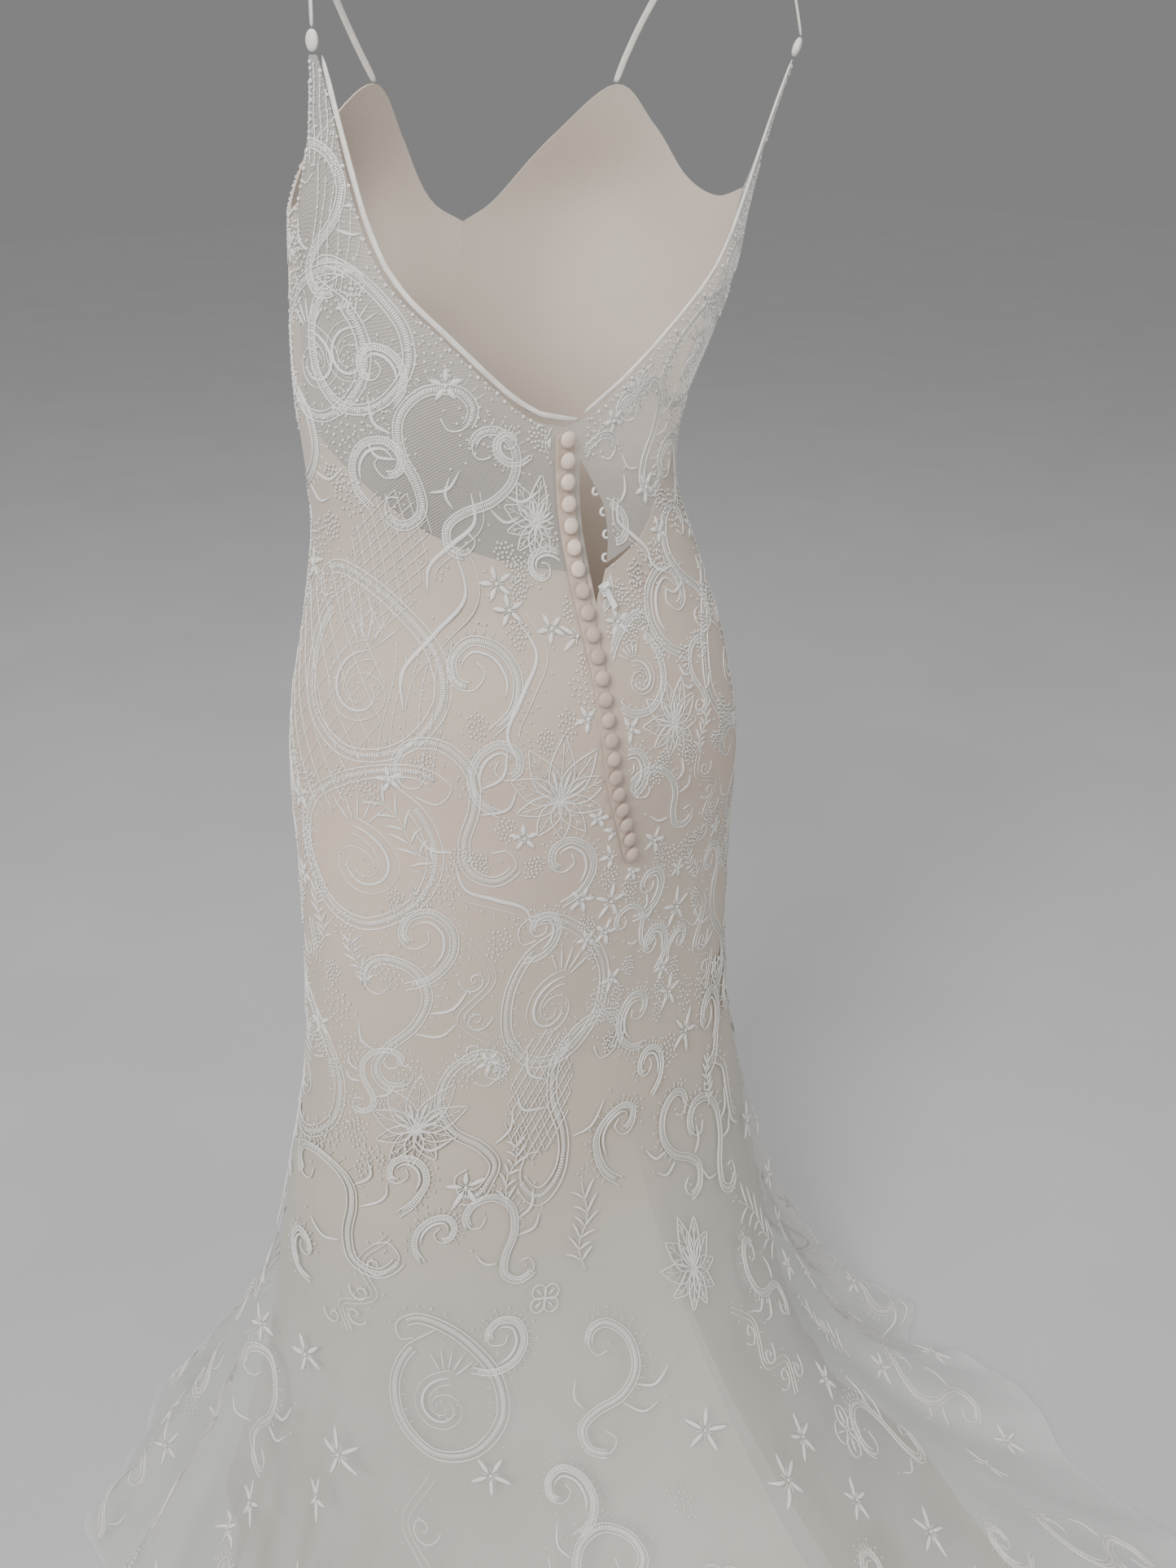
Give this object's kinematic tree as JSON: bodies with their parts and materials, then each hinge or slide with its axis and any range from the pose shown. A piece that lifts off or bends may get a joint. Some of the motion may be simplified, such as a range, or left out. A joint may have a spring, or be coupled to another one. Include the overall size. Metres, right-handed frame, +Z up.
{
  "type": "wedding gown",
  "caption": "Floor-length fit-and-flare wedding gown: lace-covered lined panels, net overskirt, sheer V back with a buttoned keyhole closure, and thin straps.",
  "frame": {"origin": "middle point between the tops of the two straps, where the shoulders hold the gown", "axes": "+Z up along the body; -Y is the wearer's front and +Y the back; +X is the wearer's left"},
  "size_m": [0.961, 1.3347, 1.4508],
  "materials": {
    "lined_lace": "matte lace over a satin lining",
    "sheer_lace": "embroidered sheer net",
    "tulle": "soft net",
    "satin": "satin",
    "elastic": "white cord",
    "zip_enamel": "white enamel"
  },
  "bodies": {
    "gown": {"back_left": "lined_lace", "back_right": "lined_lace", "side_back_left": "lined_lace", "side_back_right": "lined_lace", "side_front_left": "lined_lace", "side_front_right": "lined_lace", "front_left": "lined_lace", "front_right": "lined_lace", "lace_back_left": "sheer_lace", "lace_back_right": "sheer_lace", "net_back_left": "tulle", "net_back_right": "tulle", "net_side_back_left": "tulle", "net_side_back_right": "tulle", "net_side_front_left": "tulle", "net_side_front_right": "tulle", "net_front_left": "tulle", "net_front_right": "tulle", "neck_edge_left": "satin", "neck_edge_right": "satin", "strap_left": "satin", "strap_right": "satin", "strap_knot_left": "satin", "strap_knot_right": "satin", "button_placket": "satin", "button_01": "satin", "button_02": "satin", "button_03": "satin", "button_04": "satin", "button_05": "satin", "button_06": "satin", "button_07": "satin", "button_08": "satin", "button_09": "satin", "button_10": "satin", "button_11": "satin", "button_12": "satin", "button_13": "satin", "button_14": "satin", "button_15": "satin", "button_16": "satin", "button_17": "satin", "button_18": "satin", "button_19": "satin", "button_20": "satin", "button_21": "satin", "button_22": "satin", "loop_1": "elastic", "loop_2": "elastic", "loop_3": "elastic", "loop_4": "elastic", "zip_slider": "zip_enamel"},
    "pull": {"zip_pull": "zip_enamel"}
  },
  "joints": [
    {"name": "pull_swing", "type": "hinge", "parent": "gown", "child": "pull", "pos_m": [0.01214, 0.09844, -0.45734], "axis": [0.9297, 0.1729, -0.3254], "range_deg": [0, 150]}
  ]
}
